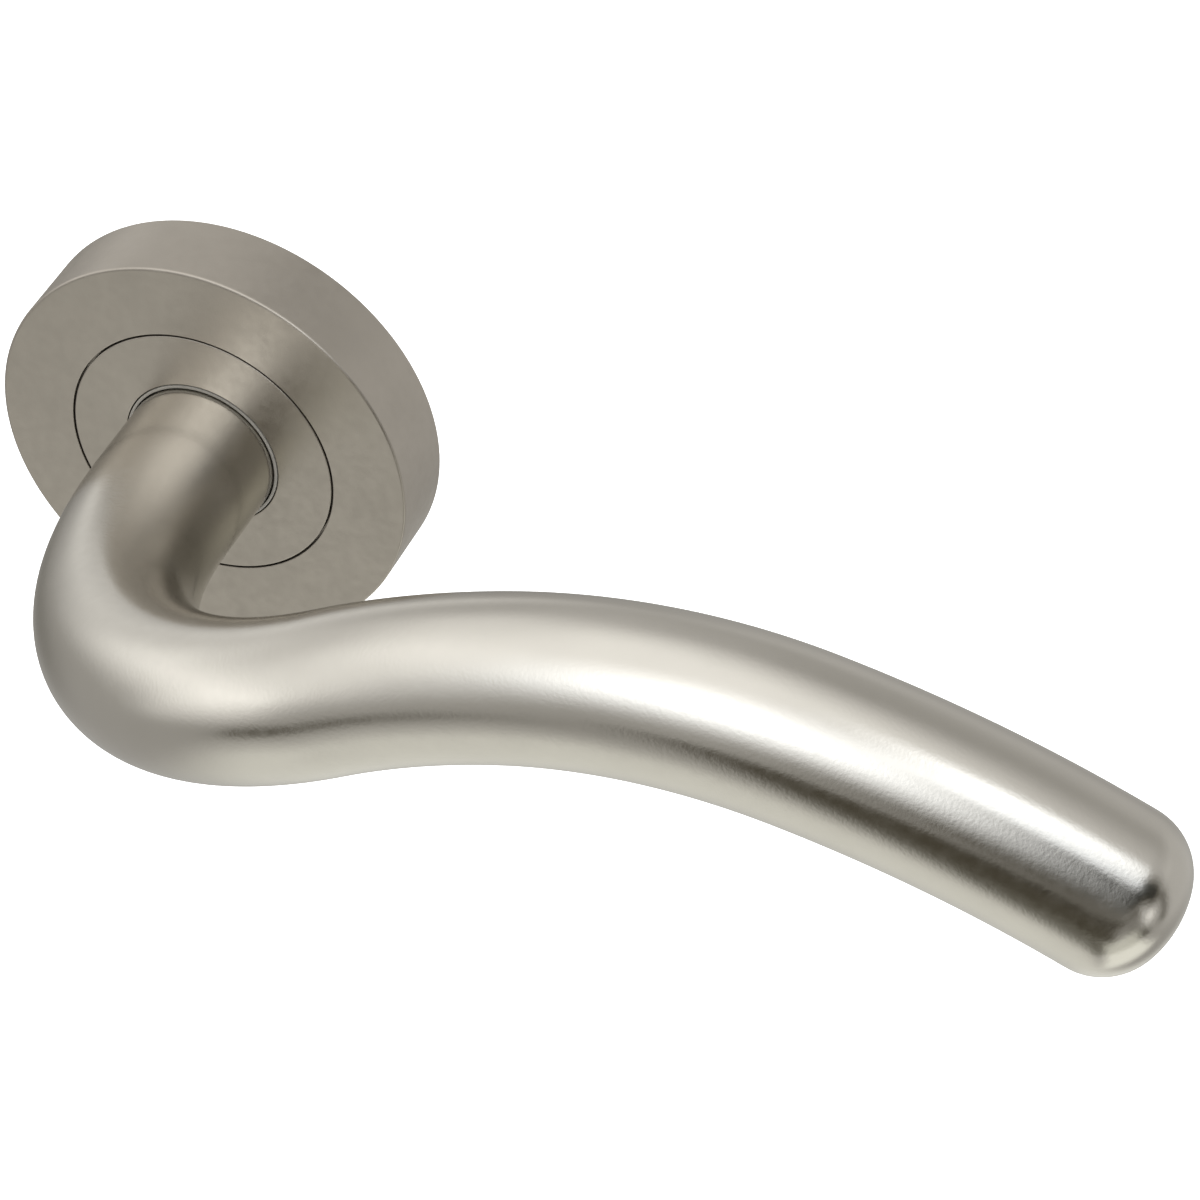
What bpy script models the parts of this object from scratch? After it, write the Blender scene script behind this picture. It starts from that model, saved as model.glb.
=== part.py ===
"""Tubular door lever on a round sprung rose.

Frame: origin on the spindle axis in the door's face, +X along the lever, +Z up, -Y away from the door.
The fixed pieces are the rose; the moving pieces hang on the empty "lever_axis", which lies on the Y axis.
"""
from math import atan2, cos, pi, radians, sin

import bmesh
import bpy
from mathutils import Matrix, Vector

MM = 0.001
GAP = 0.3 * MM

# Rose: a pressed cover over a cast base. Depth counts from the door's face (0) towards the user.
ROSE_RADIUS = 26.0 * MM
ROSE_DEPTH = 10.0 * MM
COVER_WALL = 1.2 * MM
COVER_EDGE = 0.3 * MM
RING_LINE = 0.2 * MM
PLATE_RADIUS = 16.65 * MM
PLATE_FLANGE_RADIUS = 22.0 * MM
PLATE_FLANGE_BACK = 7.4 * MM
PLATE_FLANGE_FRONT = ROSE_DEPTH - COVER_WALL - GAP
PLATE_POCKET_RADIUS = 15.6 * MM
PLATE_POCKET_DEPTH = 8.3 * MM
BASE_RADIUS = 24.5 * MM
BASE_RIM_INNER = 22.9 * MM
BASE_RIM_FRONT = 8.4 * MM
BASE_FRONT = 3.8 * MM
BASE_POCKET_RADIUS = 12.8 * MM
BASE_POCKET_DEPTH = 2.8 * MM
PILLAR_RADIUS = 2.2 * MM
PILLAR_ANGLES = (60.0, 240.0)
PILLAR_PITCH_RADIUS = 18.7 * MM
POST_SPACING = 38.0 * MM
POST_ANGLES = (180.0, 0.0)
POST_RADIUS = 2.9 * MM
POST_FLANGE_RADIUS = 3.5 * MM
POST_THREAD_RADIUS = 1.65 * MM
POST_LENGTH_IN_DOOR = 6.0 * MM

# Lever: a bent round tube with a domed, closed end.
TUBE_RADIUS = 9.2 * MM
TUBE_WALL = 1.5 * MM
TUBE_NECKING = 0.4 * MM
NECKING_REACH = 48.0 * MM
NECK_END = 0.4 * MM
NECK_MIDDLE = 10.0 * MM
NECK_STRAIGHT = 20.85 * MM
BEND_RADIUS = 42.0 * MM
BEND_ANGLE = radians(95.9)
ARM_START_TILT = radians(21.5)
ARM_ARCS = ((20.4 * MM, 87.0 * MM), (31.8 * MM, 67.0 * MM), (34.5 * MM, 146.0 * MM))
DOME_HEIGHT = 7.5 * MM
DOME_CORNER = 7.1 * MM

# Drive train and return mechanism around the neck.
BUSH_INNER = TUBE_RADIUS + GAP
BUSH_WALL = 0.5 * MM
BUSH_FLANGE_RADIUS = 11.5 * MM
BUSH_FLANGE = 0.5 * MM
COLLAR_BACK = 4.9 * MM
COLLAR_FRONT = 7.2 * MM
COLLAR_RADIUS = 11.6 * MM
LUG_RADIUS = 13.3 * MM
LUG_STEP = 0.1 * MM
STOP_LUG_ANGLE = 200.0
STOP_LUG_HALF = 7.0
SPRING_LUG_ANGLE = 20.0
SPRING_LUG_HALF = 6.0
LEVER_TURN = 50.0
STOP_PIN_RADIUS = 0.8 * MM
STOP_PIN_PITCH_RADIUS = 12.6 * MM
STOP_PIN_FRONT = 7.1 * MM
PIN_HOLE_RADIUS = 1.05 * MM
DRIVE_PIN_RADIUS = 0.6 * MM
GROOVE_RADIUS = 8.5 * MM
GROOVE_BACK = 0.8 * MM
GROOVE_FRONT = 2.0 * MM
RING_THICKNESS = 0.9 * MM
RING_OUTER = 11.0 * MM
RING_OPENING = 40.0
WASHER_DEPTH = 2.4 * MM
WASHER_THICKNESS = 0.3 * MM
WASHER_WAVE = 0.1 * MM
WASHER_OUTER = 12.2 * MM
SPRING_WIRE_RADIUS = 0.65 * MM
SPRING_RADIUS = 14.5 * MM
SPRING_PITCH = 1.6 * MM
SPRING_TURNS = 1.25
SPRING_BACK = BASE_FRONT + GAP + SPRING_WIRE_RADIUS
SPRING_CORNER = 1.2 * MM
SPRING_INNER_TIP = 12.1 * MM
SPRING_OUTER_TIP = 17.8 * MM
ANCHOR_PITCH_RADIUS = 16.7 * MM
SPINDLE_WIDTH = 8.0 * MM
SPINDLE_CHAMFER = 0.5 * MM
SPINDLE_IN_LEVER = 17.0 * MM
SPINDLE_IN_DOOR = 19.0 * MM
SOCKET_CLEARANCE = 0.25 * MM
SOCKET_FRONT = 19.5 * MM
GRUB_RADIUS = 2.3 * MM
GRUB_DEPTH = 13.5 * MM
GRUB_HEX_WIDTH = 2.5 * MM
SCREW_RADIUS = 1.0 * MM
SCREW_HEAD_RADIUS = 2.2 * MM
SCREW_HEAD_HEIGHT = 1.3 * MM

SIDES_ROSE = 72
SIDES_RING = 40
SIDES_TUBE = 32
SIDES_POST = 20
SIDES_PIN = 12
SIDES_WIRE = 8


def clear_scene():
    for item in list(bpy.data.objects):
        bpy.data.objects.remove(item, do_unlink=True)


def metal(name, colour, roughness, metallic=1.0):
    material = bpy.data.materials.new(name)
    material.use_nodes = True
    shader = material.node_tree.nodes["Principled BSDF"]
    shader.inputs["Base Color"].default_value = (*colour, 1.0)
    shader.inputs["Roughness"].default_value = roughness
    shader.inputs["Metallic"].default_value = metallic
    return material


def add_object(name, mesh_source, material, parent=None):
    """Make an object from a bmesh, with its faces pointing out and round faces shaded smooth."""
    bmesh.ops.remove_doubles(mesh_source, verts=mesh_source.verts, dist=0.001 * MM)
    bmesh.ops.recalc_face_normals(mesh_source, faces=mesh_source.faces)
    mesh = bpy.data.meshes.new(name)
    mesh_source.to_mesh(mesh)
    mesh_source.free()
    mesh.shade_smooth()
    mesh.set_sharp_from_angle(angle=radians(35))
    item = bpy.data.objects.new(name, mesh)
    bpy.context.collection.objects.link(item)
    item.parent = parent
    if material:
        mesh.materials.append(material)
    return item


def polar(angle_degrees, radius, depth=0.0):
    """A point at an angle from +X towards +Z, at a depth in front of the door's face."""
    angle = radians(angle_degrees)
    return Vector((radius * cos(angle), -depth, radius * sin(angle)))


def spin_outline(source, outline, sides, placing=Matrix.Identity(4)):
    """Add to a bmesh the body that a closed outline of (radius, depth) points spins about the Y axis."""
    already = len(source.verts)
    corners = [source.verts.new((radius, -depth, 0.0)) for radius, depth in outline]
    pairs = zip(corners, corners[1:] + corners[:1])
    edges = [source.edges.new(pair) for pair in pairs if max(pair[0].co.x, pair[1].co.x) > 0.0]
    bmesh.ops.spin(source, geom=corners + edges, axis=(0, 1, 0), cent=(0, 0, 0), angle=2 * pi, steps=sides)
    bmesh.ops.transform(source, matrix=placing, verts=source.verts[already:])


def turned(name, outline, material, sides, parent=None):
    source = bmesh.new()
    spin_outline(source, outline, sides)
    return add_object(name, source, material, parent)


def turned_group(name, bodies):
    """Several turned tools in one object; each body is (outline, placing, sides)."""
    source = bmesh.new()
    for outline, placing, sides in bodies:
        spin_outline(source, outline, sides, placing)
    return add_object(name, source, None)


def at_spot(angle_degrees, radius):
    """Places a turned body at a spot on the rose."""
    return Matrix.Translation(polar(angle_degrees, radius))


def across(depth):
    """Places a turned body across the neck: what was depth along -Y becomes height along +Z."""
    return Matrix.Translation((0.0, -depth, 0.0)) @ Matrix.Rotation(-pi / 2, 4, "X")


def ring_outline(inner, outer, back, front):
    return [(inner, back), (outer, back), (outer, front), (inner, front)]


def rod_outline(radius, back, front, chamfer=0.0):
    """Half section of a solid rod on the axis, chamfered at both ends."""
    return [
        (0.0, back),
        (radius - chamfer, back),
        (radius, back + chamfer),
        (radius, front - chamfer),
        (radius - chamfer, front),
        (0.0, front),
    ] if chamfer else [(0.0, back), (radius, back), (radius, front), (0.0, front)]


def block(name, size, centre, material, parent=None):
    source = bmesh.new()
    bmesh.ops.create_cube(source, size=1.0, matrix=Matrix.Diagonal((*size, 1.0)))
    item = add_object(name, source, material, parent)
    item.location = centre
    return item


def boolean(item, tool, operation):
    """Cut or join with a tool object, which stays in the scene as a hidden guide."""
    tool.hide_render = True
    tool.display_type = "WIRE"
    modifier = item.modifiers.new(f"{operation.lower()}_{tool.name}", "BOOLEAN")
    modifier.object = tool
    modifier.operation = operation
    modifier.solver = "EXACT"


def drill_neck(item, pin_span, grub_span):
    """Drill the drive pin's hole from above and the grub screw's hole from below, each over a span of Z."""
    tools = [(rod_outline(DRIVE_PIN_RADIUS + RING_LINE, *pin_span), across(drive_pin_depth()), SIDES_PIN)]
    if grub_span:
        tools.append((rod_outline(GRUB_RADIUS + GAP, *grub_span), across(GRUB_DEPTH), SIDES_PIN))
    boolean(item, turned_group(f"{item.name}_cross_holes", tools), "DIFFERENCE")


def round_corner(radius, depth, edge, steps=3):
    """Quarter-circle corner between an outer wall and a front face."""
    points = []
    for step in range(steps + 1):
        angle = pi / 2 * step / steps
        points.append((radius - edge + edge * cos(angle), depth - edge + edge * sin(angle)))
    return points


# ---- rose ----------------------------------------------------------------------------------------

def make_rose_cover(material):
    outline = [(ROSE_RADIUS, 0.0)]
    outline += round_corner(ROSE_RADIUS, ROSE_DEPTH, COVER_EDGE)
    outline += [
        (PLATE_RADIUS + RING_LINE, ROSE_DEPTH),
        (PLATE_RADIUS + RING_LINE, ROSE_DEPTH - COVER_WALL),
        (ROSE_RADIUS - COVER_WALL, ROSE_DEPTH - COVER_WALL),
        (ROSE_RADIUS - COVER_WALL, 0.0),
    ]
    turned("rose_cover", outline, material, SIDES_ROSE)


def make_bearing_plate(material):
    hole = BUSH_INNER + BUSH_WALL + RING_LINE
    outline = [
        (hole, ROSE_DEPTH),
        (PLATE_RADIUS, ROSE_DEPTH),
        (PLATE_RADIUS, PLATE_FLANGE_FRONT),
        (PLATE_FLANGE_RADIUS, PLATE_FLANGE_FRONT),
        (PLATE_FLANGE_RADIUS, PLATE_FLANGE_BACK),
        (PLATE_POCKET_RADIUS, PLATE_FLANGE_BACK),
        (PLATE_POCKET_RADIUS, PLATE_POCKET_DEPTH),
        (hole, PLATE_POCKET_DEPTH),
    ]
    plate = turned("bearing_plate", outline, material, SIDES_ROSE)
    hole_outline = rod_outline(SCREW_RADIUS + RING_LINE, PLATE_FLANGE_BACK - GAP, ROSE_DEPTH)
    holes = [(hole_outline, at_spot(angle, PILLAR_PITCH_RADIUS), SIDES_PIN) for angle in PILLAR_ANGLES]
    boolean(plate, turned_group("plate_holes", holes), "DIFFERENCE")


def make_bush(name, tail, flange_face, front_flange, material):
    """Flanged plastic bush. Its sleeve runs from tail to flange_face, where the flange stands."""
    sleeve = BUSH_INNER + BUSH_WALL
    flange_inner_face = flange_face - BUSH_FLANGE if front_flange else flange_face + BUSH_FLANGE
    outline = [
        (BUSH_INNER, tail),
        (sleeve, tail),
        (sleeve, flange_inner_face),
        (BUSH_FLANGE_RADIUS, flange_inner_face),
        (BUSH_FLANGE_RADIUS, flange_face),
        (BUSH_INNER, flange_face),
    ]
    turned(name, outline, material, SIDES_RING)


def make_rose_base(material):
    web_hole = BUSH_INNER + BUSH_WALL + RING_LINE
    outline = [
        (BASE_RADIUS, 0.0),
        (BASE_RADIUS, BASE_RIM_FRONT),
        (BASE_RIM_INNER, BASE_RIM_FRONT),
        (BASE_RIM_INNER, BASE_FRONT),
        (web_hole, BASE_FRONT),
        (web_hole, BASE_POCKET_DEPTH),
        (BASE_POCKET_RADIUS, BASE_POCKET_DEPTH),
        (BASE_POCKET_RADIUS, 0.0),
    ]
    base = turned("rose_base", outline, material, SIDES_ROSE)
    pillar_outline = rod_outline(PILLAR_RADIUS, BASE_FRONT - 1.0 * MM, PLATE_FLANGE_BACK - GAP)
    pillars = [(pillar_outline, at_spot(angle, PILLAR_PITCH_RADIUS), SIDES_PIN) for angle in PILLAR_ANGLES]
    boolean(base, turned_group("base_pillars", pillars), "UNION")
    boolean(base, turned_group("base_holes", base_holes()), "DIFFERENCE")


def base_holes():
    """Countersunk screw holes, post holes and pin holes in the base."""
    screw_hole = [
        (0.0, -GAP),
        (SCREW_HEAD_RADIUS + RING_LINE + GAP, -GAP),
        (SCREW_RADIUS + RING_LINE, SCREW_HEAD_HEIGHT),
        (SCREW_RADIUS + RING_LINE, PLATE_FLANGE_BACK),
        (0.0, PLATE_FLANGE_BACK),
    ]
    post_hole = rod_outline(POST_RADIUS + RING_LINE, -GAP, BASE_FRONT + GAP)
    stop_hole = rod_outline(PIN_HOLE_RADIUS, BASE_POCKET_DEPTH - 1.0 * MM, BASE_FRONT + GAP)
    anchor_hole = rod_outline(PIN_HOLE_RADIUS, -GAP, BASE_FRONT + GAP)
    holes = [(screw_hole, at_spot(angle, PILLAR_PITCH_RADIUS), SIDES_PIN) for angle in PILLAR_ANGLES]
    holes += [(post_hole, at_spot(angle, POST_SPACING / 2), SIDES_POST) for angle in POST_ANGLES]
    for angle in (rest_stop_angle(), turned_stop_angle()):
        holes.append((stop_hole, at_spot(angle, STOP_PIN_PITCH_RADIUS), SIDES_PIN))
    holes.append((anchor_hole, at_spot(anchor_pin_angle(), ANCHOR_PITCH_RADIUS), SIDES_PIN))
    return holes


def pin_clearance_angle():
    """Half the angle that a stop pin and its gap take up, in degrees."""
    return (STOP_PIN_RADIUS + GAP) / STOP_PIN_PITCH_RADIUS * 180.0 / pi


def rest_stop_angle():
    return STOP_LUG_ANGLE + STOP_LUG_HALF + pin_clearance_angle()


def turned_stop_angle():
    return STOP_LUG_ANGLE - LEVER_TURN - STOP_LUG_HALF - pin_clearance_angle()


def make_pin(name, angle, pitch_radius, back, material):
    pin = turned(name, rod_outline(STOP_PIN_RADIUS, back, STOP_PIN_FRONT, 0.15 * MM), material, SIDES_PIN)
    pin.location = polar(angle, pitch_radius)


def make_plate_screw(name, angle, material):
    head_back = 0.2 * MM
    tip = PLATE_FLANGE_FRONT - 0.1 * MM
    outline = [
        (0.0, head_back),
        (SCREW_HEAD_RADIUS, head_back),
        (SCREW_RADIUS, head_back + SCREW_HEAD_HEIGHT),
        (SCREW_RADIUS, tip - 0.3 * MM),
        (SCREW_RADIUS - 0.3 * MM, tip),
        (0.0, tip),
    ]
    screw = turned(name, outline, material, SIDES_PIN)
    screw.location = polar(angle, PILLAR_PITCH_RADIUS)
    recess_centre = screw.location - Vector((0.0, head_back, 0.0))
    blade = (2.4 * MM, 1.6 * MM, 0.5 * MM)
    flat_slot = block(f"{name}_recess", blade, recess_centre, None)
    cross_slot = block(f"{name}_cross_recess", blade, recess_centre, None)
    cross_slot.rotation_euler = (0.0, pi / 2, 0.0)
    boolean(screw, flat_slot, "DIFFERENCE")
    boolean(screw, cross_slot, "DIFFERENCE")


def make_fixing_post(name, angle, material):
    """Threaded barrel that a bolt from the door's other side screws into; its flange bears on the base."""
    flange_back = BASE_FRONT + GAP
    outline = [
        (POST_THREAD_RADIUS, -POST_LENGTH_IN_DOOR),
        (POST_RADIUS, -POST_LENGTH_IN_DOOR),
        (POST_RADIUS, flange_back),
        (POST_FLANGE_RADIUS, flange_back),
        (POST_FLANGE_RADIUS, flange_back + 0.8 * MM),
        (POST_THREAD_RADIUS, flange_back + 0.8 * MM),
    ]
    post = turned(name, outline, material, SIDES_POST)
    post.location = polar(angle, POST_SPACING / 2)


# ---- return spring -------------------------------------------------------------------------------

def spring_leg_angle():
    """Angle at which the moving leg lies, just clockwise of the collar's spring lug."""
    return SPRING_LUG_ANGLE - SPRING_LUG_HALF - (SPRING_WIRE_RADIUS + GAP) / LUG_RADIUS * 180.0 / pi


def coil_start_angle():
    return spring_leg_angle() + SPRING_CORNER / (SPRING_RADIUS - SPRING_CORNER) * 180.0 / pi


def coil_end_angle():
    return coil_start_angle() + 360.0 * SPRING_TURNS


def anchor_pin_angle():
    offset = SPRING_CORNER - SPRING_WIRE_RADIUS - GAP - STOP_PIN_RADIUS
    return coil_end_angle() + offset / ANCHOR_PITCH_RADIUS * 180.0 / pi


def spring_path():
    """Centre line: inward leg, corner, coil, corner, outward leg."""
    corner_steps = 5
    start, end = coil_start_angle(), coil_end_angle()
    front = SPRING_BACK + SPRING_PITCH * SPRING_TURNS
    radial, along = polar(start, 1.0), polar(start + 90.0, 1.0)
    corner_centre = radial * (SPRING_RADIUS - SPRING_CORNER) + Vector((0.0, -front, 0.0))
    leg_end = corner_centre - along * SPRING_CORNER
    leg_length = SPRING_RADIUS - SPRING_CORNER - SPRING_INNER_TIP
    points = [leg_end - radial * leg_length]
    for step in range(corner_steps):
        turn = pi / 2 * (1 - step / corner_steps)
        points.append(corner_centre + SPRING_CORNER * (cos(turn) * radial - sin(turn) * along))
    coil_steps = round(30 * SPRING_TURNS)
    for step in range(coil_steps + 1):
        share = step / coil_steps
        depth = front + (SPRING_BACK - front) * share
        points.append(polar(start + (end - start) * share, SPRING_RADIUS, depth))
    radial, along = polar(end, 1.0), polar(end + 90.0, 1.0)
    corner_centre = radial * (SPRING_RADIUS + SPRING_CORNER) + Vector((0.0, -SPRING_BACK, 0.0))
    for step in range(1, corner_steps + 1):
        turn = pi / 2 * step / corner_steps
        points.append(corner_centre + SPRING_CORNER * (sin(turn) * along - cos(turn) * radial))
    points.append(points[-1] + radial * (SPRING_OUTER_TIP - SPRING_RADIUS - SPRING_CORNER))
    return points


def frames_along(points):
    """Twist-free frames (point, side, up) along a line of points."""
    side = None
    frames = []
    for index, point in enumerate(points):
        before = points[max(index - 1, 0)]
        after = points[min(index + 1, len(points) - 1)]
        tangent = (after - before).normalized()
        if side is None:
            side = tangent.orthogonal().normalized()
        side = (side - tangent * side.dot(tangent)).normalized()
        frames.append((point, side, tangent.cross(side)))
    return frames


def ring_at(source, frame, radius, sides):
    point, side, up = frame
    turns = [2 * pi * step / sides for step in range(sides)]
    return [source.verts.new(point + radius * (cos(turn) * side + sin(turn) * up)) for turn in turns]


def skin(source, rings):
    for first, second in zip(rings, rings[1:]):
        for index in range(len(first)):
            following = (index + 1) % len(first)
            source.faces.new((first[index], first[following], second[following], second[index]))


def make_return_spring(material):
    source = bmesh.new()
    frames = frames_along(spring_path())
    rings = [ring_at(source, frame, SPRING_WIRE_RADIUS, SIDES_WIRE) for frame in frames]
    skin(source, rings)
    source.faces.new(rings[0])
    source.faces.new(rings[-1])
    add_object("return_spring", source, material)


# ---- lever ---------------------------------------------------------------------------------------

def lever_path():
    """Centre line of the tube as (travel, point) pairs: straight neck, bend, then an arched arm.

    The bend turns a little past square, so the arm comes back towards the door as it runs out.
    """
    outward = Vector((0.0, -1.0, 0.0))
    sideways = Vector((cos(ARM_START_TILT), 0.0, sin(ARM_START_TILT)))
    bend_start = outward * NECK_STRAIGHT
    path = [(depth, outward * depth) for depth in (NECK_MIDDLE, NECK_STRAIGHT)]
    travel = NECK_STRAIGHT
    bend_steps = 15
    for step in range(1, bend_steps + 1):
        turn = BEND_ANGLE * step / bend_steps
        point = bend_start + BEND_RADIUS * (sin(turn) * outward + (1 - cos(turn)) * sideways)
        path.append((travel + BEND_RADIUS * turn, point))
    travel, point = path[-1]
    inward = BEND_ANGLE - pi / 2
    tilt = ARM_START_TILT
    for length, radius in ARM_ARCS:
        steps = round(length / (5.5 * MM))
        for step in range(steps):
            middle = tilt - length / steps / radius / 2
            heading = Vector((cos(middle) * cos(inward), sin(inward), sin(middle) * cos(inward)))
            point = point + heading * (length / steps)
            travel += length / steps
            tilt -= length / steps / radius
            path.append((travel, point))
    return path


def tube_radius(travel):
    """The tube draws in slightly around the end of the bend."""
    narrowest = NECK_STRAIGHT + BEND_RADIUS * BEND_ANGLE + 5.0 * MM
    distance = min(abs(travel - narrowest) / NECKING_REACH, 1.0)
    return TUBE_RADIUS - TUBE_NECKING * cos(pi / 2 * distance) ** 2


def dome_outline(radius, height, corner):
    """(radius, advance) points of the closed end: a corner arc that runs into a flatter crown."""
    steps = 4
    flat = radius - corner
    crown_offset = (flat ** 2 - (height - corner) ** 2) / (2 * (height - corner))
    crown_radius = crown_offset + height
    crown_half = atan2(flat, crown_offset)
    points = []
    for step in range(1, steps + 1):
        turn = (pi / 2 - crown_half) * step / steps
        points.append((flat + corner * cos(turn), corner * sin(turn)))
    for step in range(1, steps):
        turn = crown_half * (1 - step / steps)
        points.append((crown_radius * sin(turn), crown_radius * cos(turn) - crown_offset))
    return points


def neck_rings(inset):
    """(depth, radius) steps of the neck's end; the outer wall has the retaining ring's groove."""
    wall = TUBE_RADIUS - inset
    if inset:
        return [(NECK_END, wall)]
    return [
        (NECK_END, wall),
        (GROOVE_BACK, wall),
        (GROOVE_BACK, GROOVE_RADIUS),
        (GROOVE_FRONT, GROOVE_RADIUS),
        (GROOVE_FRONT, wall),
    ]


def closed_skin(source, inset, sides):
    """One wall surface of the tube, from its open neck end to the crown of its dome."""
    path = lever_path()
    travels = [travel for travel, _ in path]
    frames = frames_along([point for _, point in path])
    _, neck_side, neck_up = frames[0]
    rings = []
    for depth, radius in neck_rings(inset):
        rings.append(ring_at(source, (Vector((0.0, -depth, 0.0)), neck_side, neck_up), radius, sides))
    for travel, frame in zip(travels, frames):
        rings.append(ring_at(source, frame, tube_radius(travel) - inset, sides))
    point, side, up = frames[-1]
    ahead = side.cross(up)
    radius = tube_radius(travels[-1]) - inset
    height = DOME_HEIGHT - inset
    for ring_radius, advance in dome_outline(radius, height, DOME_CORNER - inset):
        rings.append(ring_at(source, (point + ahead * advance, side, up), ring_radius, sides))
    skin(source, rings)
    crown = source.verts.new(point + ahead * height)
    for index in range(sides):
        source.faces.new((rings[-1][index], rings[-1][(index + 1) % sides], crown))
    return rings[0]


def make_lever(material, parent):
    source = bmesh.new()
    outer_mouth = closed_skin(source, 0.0, SIDES_TUBE)
    inner_mouth = closed_skin(source, TUBE_WALL, SIDES_TUBE)
    skin(source, [outer_mouth, inner_mouth])
    lever = add_object("lever", source, material, parent)
    drill_neck(lever, (5.0 * MM, 11.0 * MM), (-11.0 * MM, -5.0 * MM))


def make_spindle_socket(material, parent):
    outline = rod_outline(TUBE_RADIUS - TUBE_WALL - GAP, NECK_END, SOCKET_FRONT, 0.4 * MM)
    socket = turned("spindle_socket", outline, material, SIDES_RING, parent)
    hole = SPINDLE_WIDTH + 2 * SOCKET_CLEARANCE
    length = SOCKET_FRONT + 2.0 * MM
    broach = block("socket_broach", (hole, length, hole), (0.0, -length / 2, 0.0), None)
    boolean(socket, broach, "DIFFERENCE")
    drill_neck(socket, (3.0 * MM, 9.0 * MM), (-9.0 * MM, -3.0 * MM))


def make_spindle(material, parent):
    """Half spindle: square steel bar, chamfered at its ends, that reaches the middle of the door."""
    length = SPINDLE_IN_LEVER + SPINDLE_IN_DOOR
    middle = (0.0, SPINDLE_IN_DOOR - length / 2, 0.0)
    spindle = block("spindle", (SPINDLE_WIDTH, length, SPINDLE_WIDTH), middle, material, parent)
    bevel = spindle.modifiers.new("chamfer", "BEVEL")
    bevel.width = SPINDLE_CHAMFER
    bevel.segments = 1
    bevel.limit_method = "ANGLE"


def make_grub_screw(material, parent):
    """Cup-point set screw in the underside of the neck, with a hexagon socket."""
    inner_end = SPINDLE_WIDTH / 2 + GAP
    outer_end = TUBE_RADIUS - 0.4 * MM
    outline = rod_outline(GRUB_RADIUS, inner_end, outer_end, 0.3 * MM)
    screw = turned("grub_screw", outline, material, SIDES_PIN, parent)
    screw.rotation_euler = (pi / 2, 0.0, 0.0)
    screw.location = (0.0, -GRUB_DEPTH, 0.0)
    hex_radius = GRUB_HEX_WIDTH / 2 / cos(pi / 6)
    key_outline = rod_outline(hex_radius, outer_end - 2.0 * MM, outer_end + 1.0 * MM)
    key = turned("grub_key", key_outline, None, 6)
    key.rotation_euler = screw.rotation_euler
    key.location = screw.location
    boolean(screw, key, "DIFFERENCE")


def drive_pin_depth():
    return (COLLAR_BACK + COLLAR_FRONT) / 2


def sector(name, centre_angle, half_angle, inner, outer, back, front):
    """Lug shape: a stretch of a flat ring between two angles."""
    steps = 4
    source = bmesh.new()
    rings = []
    for step in range(steps + 1):
        angle = centre_angle - half_angle + 2 * half_angle * step / steps
        corners = ((inner, back), (outer, back), (outer, front), (inner, front))
        rings.append([source.verts.new(polar(angle, radius, depth)) for radius, depth in corners])
    skin(source, rings)
    source.faces.new(rings[0])
    source.faces.new(rings[-1])
    return add_object(name, source, None)


def make_drive_collar(material, parent):
    """Ring pinned to the neck, with one lug between the stops and one that the spring pushes."""
    outline = ring_outline(BUSH_INNER, COLLAR_RADIUS, COLLAR_BACK, COLLAR_FRONT)
    collar = turned("drive_collar", outline, material, SIDES_RING, parent)
    root = COLLAR_RADIUS - 1.0 * MM
    lugs = ((STOP_LUG_ANGLE, STOP_LUG_HALF), (SPRING_LUG_ANGLE, SPRING_LUG_HALF))
    for angle, half in lugs:
        back, front = COLLAR_BACK + LUG_STEP, COLLAR_FRONT - LUG_STEP
        lug = sector("collar_lug", angle, half, root, LUG_RADIUS, back, front)
        boolean(collar, lug, "UNION")
    drill_neck(collar, (8.0 * MM, 13.0 * MM), None)


def make_drive_pin(material, parent):
    outline = rod_outline(DRIVE_PIN_RADIUS, 4.6 * MM, COLLAR_RADIUS - 0.1 * MM, 0.15 * MM)
    pin = turned("drive_pin", outline, material, SIDES_PIN, parent)
    pin.rotation_euler = (-pi / 2, 0.0, 0.0)
    pin.location = (0.0, -drive_pin_depth(), 0.0)


def make_retaining_ring(material, parent):
    """Open snap ring in the neck's groove; it keeps the lever in the rose."""
    middle = (GROOVE_BACK + GROOVE_FRONT) / 2
    back, front = middle - RING_THICKNESS / 2, middle + RING_THICKNESS / 2
    arc_half = (360.0 - RING_OPENING) / 2
    source = bmesh.new()
    rings = []
    for step in range(SIDES_RING + 1):
        angle = 270.0 - arc_half + 2 * arc_half * step / SIDES_RING + 180.0
        inner = GROOVE_RADIUS + RING_LINE
        corners = ring_outline(inner, RING_OUTER, back, front)
        rings.append([source.verts.new(polar(angle, radius, depth)) for radius, depth in corners])
    skin(source, rings)
    source.faces.new(rings[0])
    source.faces.new(rings[-1])
    add_object("retaining_ring", source, material, parent)


def make_wave_washer(material, parent):
    """Spring washer that takes up the play between the retaining ring and the base."""
    waves = 3
    source = bmesh.new()
    rings = []
    for step in range(SIDES_RING):
        angle = 360.0 * step / SIDES_RING
        middle = WASHER_DEPTH + WASHER_WAVE * sin(radians(angle) * waves)
        back, front = middle - WASHER_THICKNESS / 2, middle + WASHER_THICKNESS / 2
        corners = ring_outline(BUSH_INNER, WASHER_OUTER, back, front)
        rings.append([source.verts.new(polar(angle, radius, depth)) for radius, depth in corners])
    skin(source, rings + rings[:1])
    add_object("wave_washer", source, material, parent)


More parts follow.
